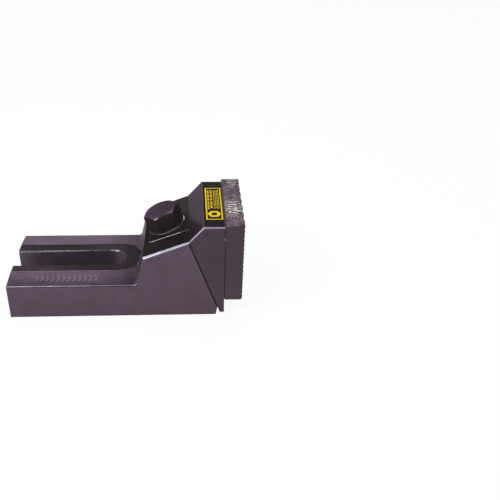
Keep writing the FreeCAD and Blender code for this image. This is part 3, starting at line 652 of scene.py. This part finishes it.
# Painted light: the top and chamfer take the paler skin, then the painted highlights at two corners.
paint(head.faces, 1, lambda face: face.normal.z > 0.3)
paint(head.faces, 2, lambda face: on_chamfer(face, -111, -86))
paint(head.faces, 3, lambda face: on_chamfer(face, -64, -40))
bmesh.ops.dissolve_limit(head, angle_limit=radians(0.3), use_dissolve_boundaries=False,
                         verts=head.verts, edges=head.edges, delimit={"MATERIAL"})
break_edges(head, 0.22, 2, 20)
bmesh.ops.transform(head, verts=head.verts, matrix=SCREW_FRAME)
finished(head, "hex_head", "screw", [head_side, head_top_painted_light, head_glint, head_corner_painted_highlight], ["clamp_screw"])

SHANK = 8.0
GROOVE_FLOOR = -19.5
GROOVE_TOP = -18.1
GROOVE_RADIUS = 7.4
THREAD_TOP = -20.5
POINT = -47.0
shank = turned([(0, WASHER_RISE), (SHANK, WASHER_RISE), (SHANK, GROOVE_TOP), (GROOVE_RADIUS, GROOVE_TOP),
                (GROOVE_RADIUS, GROOVE_FLOOR), (SHANK, GROOVE_FLOOR), (SHANK, THREAD_TOP), (0, THREAD_TOP)], 48)
bmesh.ops.transform(shank, verts=shank.verts, matrix=SCREW_FRAME)
finished(shank, "screw_shank", "screw", [head_side], ["clamp_screw"])

PITCH = 2.0
THREAD_DEPTH = 1.08
TURN_STEPS = 36
turns = int((THREAD_TOP - POINT) / PITCH) + 3
thread = bmesh.new()
profile = [(SHANK - THREAD_DEPTH, 0), (SHANK - THREAD_DEPTH, 0.5), (SHANK, 1.125), (SHANK, 1.375),
           (SHANK - THREAD_DEPTH, 2.0)]
rim = [thread.verts.new((radius * MM, 0, (POINT - PITCH + rise) * MM)) for radius, rise in profile]
line = [thread.edges.new(ends) for ends in zip(rim, rim[1:])]
bmesh.ops.spin(thread, geom=rim + line, cent=(0, 0, 0), axis=(0, 0, 1), dvec=(0, 0, PITCH / TURN_STEPS * MM),
               angle=2 * pi * turns, steps=TURN_STEPS * turns, use_merge=False, use_duplicate=False)
bmesh.ops.remove_doubles(thread, verts=thread.verts, dist=WELD)
for height, way in ((THREAD_TOP, 1), (POINT, -1)):
    cut = bmesh.ops.bisect_plane(thread, geom=thread.verts[:] + thread.edges[:] + thread.faces[:], dist=WELD,
                                 plane_co=(0, 0, height * MM), plane_no=(0, 0, way), clear_outer=True)
    loop = [part for part in cut["geom_cut"] if isinstance(part, bmesh.types.BMEdge)]
    bmesh.ops.edgeloop_fill(thread, edges=loop)
for vert in thread.verts:
    allowed = SHANK - 1.5 + vert.co.z / MM - POINT
    if radius_of(vert) > allowed:
        vert.co.xy *= allowed / radius_of(vert)
bmesh.ops.recalc_face_normals(thread, faces=thread.faces)
bmesh.ops.transform(thread, verts=thread.verts, matrix=SCREW_FRAME)
finished(thread, "screw_thread", "screw", [black_oxide], ["clamp_screw"], crease=30)

# The washer under the head is thin hardened steel, hardly wider than the head's corners. Its rounded rim
# carries a painted highlight, brighter on the near side, and a painted glint at its front.

WASHER_RADIUS = 14.2
WASHER_BORE = 8.75
WASHER_ROUND = 0.45
# Painted highlight on the rim and the top beyond the flats, on the near side.
washer_rim_painted_highlight = skin("washer_rim_painted_highlight", (0.085, 0.066, 0.090), (0.17, 0.14, 0.185), 0.35, metal=0.3, mottle=200.0)
# A dimmer painted highlight on the rest of the rim and outer top.
washer_rim_dim_highlight = skin("washer_rim_dim_highlight", (0.030, 0.023, 0.029), (0.055, 0.043, 0.054), 0.35, metal=0.2, mottle=200.0)
# A bright painted glint on the rim at its front.
washer_glint = skin("washer_glint", (0.75, 0.75, 0.73), (0.85, 0.85, 0.83), 0.3, metal=0.5)
arc = [(WASHER_RADIUS - WASHER_ROUND * (1 - cos(step * pi / 8)),
        WASHER_RISE - WASHER_ROUND * (1 - sin(step * pi / 8))) for step in range(5)]
washer = turned([(WASHER_BORE, 0.2), (WASHER_BORE + 0.2, 0), (WASHER_RADIUS - 0.2, 0), (WASHER_RADIUS, 0.2),
                 *arc, (FLAT - 0.1, WASHER_RISE), (WASHER_BORE + 0.2, WASHER_RISE), (WASHER_BORE, WASHER_RISE - 0.2),
                 (WASHER_BORE, 0.2)], 96)


def on_washer(face, start, stop, least=12):
    """True for the washer's outer faces between two angles about the screw, in degrees."""
    at = middle_of(face)
    return at.xy.length > least and face.normal.z > -0.5 and start < degrees(atan2(at.y, at.x)) < stop


# Painted highlights on the washer's rim: dim all round, brighter on the near side, a glint at the front.
paint(washer.faces, 1, lambda face: on_washer(face, -181, 181))
paint(washer.faces, 2, lambda face: on_washer(face, -112, -44))
paint(washer.faces, 3, lambda face: on_washer(face, -12, 18, 13.8))
bmesh.ops.transform(washer, verts=washer.verts, matrix=SCREW_FRAME)
finished(washer, "head_washer", "jaw", [milled_black_painted_far_light, washer_rim_dim_highlight, washer_rim_painted_highlight, washer_glint],
         ["screw_washer"])

# The open retaining ring in the screw's groove keeps its CAD shape: spring steel, blackened.

ring_steel = skin("ring_steel", (0.02, 0.018, 0.02), (0.045, 0.04, 0.045), 0.3, metal=0.5)
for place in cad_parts["retaining_ring"].material_slots:
    place.material = ring_steel

# The label covers the block's flat top: a thin black plastic plate with rounded corners, printed in yellow
# with a frame, a hexagon nut sign and two blocks of plain dashes.

LABEL_TOP = 74.2
LABEL_MIDDLE = Vector((76.95, 0, 0))
LABEL_HALF = (7.15, 36.2)
LABEL_THICK = 0.2
LABEL_CORNER = 0.8
PRINT_RISE = 0.02
label_film = skin("label_film", (0.0065, 0.0040, 0.0048), (0.0115, 0.0072, 0.0088), 0.35, specular=0.028, mottle=90.0)
print_yellow = skin("print_yellow", (0.84, 0.57, 0.005), (0.98, 0.70, 0.008), 0.45, specular=0.03, mottle=120.0,
                    depth=0.01)


def flat_shape(form, corners, height, rise, middle):
    """Adds a flat shape from corners in millimetres about a middle, and raises it."""
    face = form.faces.new([form.verts.new((middle + Vector((x, y, height))) * MM) for x, y in corners])
    raised = bmesh.ops.extrude_face_region(form, geom=[face])
    bmesh.ops.translate(form, vec=(0, 0, rise * MM),
                        verts=[part for part in raised["geom"] if isinstance(part, bmesh.types.BMVert)])


def rectangle(x0, y0, x1, y1):
    return [(x0, y0), (x1, y0), (x1, y1), (x0, y1)]


film = bmesh.new()
wide, long = LABEL_HALF
flat_shape(film, rectangle(-wide, -long, wide, long), LABEL_TOP - LABEL_THICK, LABEL_THICK, LABEL_MIDDLE)
upright = [edge for edge in film.edges if abs((edge.verts[0].co - edge.verts[1].co).z) > 0.1 * MM]
bmesh.ops.bevel(film, geom=upright, offset=LABEL_CORNER * MM, offset_type="OFFSET", segments=5, profile=0.5,
                affect="EDGES", clamp_overlap=True, material=-1)
bmesh.ops.recalc_face_normals(film, faces=film.faces)
finished(film, "label_plate", "jaw", [label_film], ["top_label"])

ink = bmesh.new()
FRAME_HALF = (6.0, 25.5)
LINE = 0.95
PRINT_MIDDLE = LABEL_MIDDLE + Vector((0.5, -0.5, 0))
outer_x, outer_y = FRAME_HALF
for bar in (rectangle(-outer_x, -outer_y, -outer_x + LINE, outer_y),
            rectangle(outer_x - LINE, -outer_y, outer_x, outer_y),
            rectangle(-outer_x + LINE, -outer_y, outer_x - LINE, -outer_y + LINE),
            rectangle(-outer_x + LINE, outer_y - LINE, outer_x - LINE, outer_y)):
    flat_shape(ink, bar, LABEL_TOP, PRINT_RISE, PRINT_MIDDLE)
NUT_MIDDLE = -17.0
NUT_CORNER = 5.0
NUT_BORE = 2.2
nut = [(NUT_CORNER * cos(number * pi / 3), NUT_MIDDLE + NUT_CORNER * sin(number * pi / 3)) for number in range(6)]
flat_shape(ink, nut, LABEL_TOP, PRINT_RISE, PRINT_MIDDLE)
LINES = [(x, 1.35, 1.3, offset) for x, offset in ((-3.8, 0.0), (-1.6, 1.6))]
LINES += [(x, 0.55, 0.9, offset) for x, offset in ((0.4, 0.4), (1.6, 1.5), (2.8, 0.0), (3.9, 1.1))]
DASHES = (1.5, 2.4, 1.0, 1.9, 0.8, 2.8)
DASHES_FROM = -9.5
DASHES_TO = 21.5
number = 0
for column, width, gap, offset in LINES:
    at = DASHES_FROM + offset
    while at < DASHES_TO:
        length = DASHES[number % len(DASHES)]
        flat_shape(ink, rectangle(column - width / 2, at, column + width / 2, at + length), LABEL_TOP, PRINT_RISE,
                   PRINT_MIDDLE)
        at += length + gap
        number += 1
bmesh.ops.recalc_face_normals(ink, faces=ink.faces)
finished(ink, "label_print", "jaw", [print_yellow])

bore = bmesh.new()
flat_shape(bore, [(NUT_BORE * cos(number * pi / 12), NUT_MIDDLE + NUT_BORE * sin(number * pi / 12))
                  for number in range(24)], LABEL_TOP + PRINT_RISE, PRINT_RISE, PRINT_MIDDLE)
bmesh.ops.recalc_face_normals(bore, faces=bore.faces)
finished(bore, "label_print_bore", "jaw", [label_film])
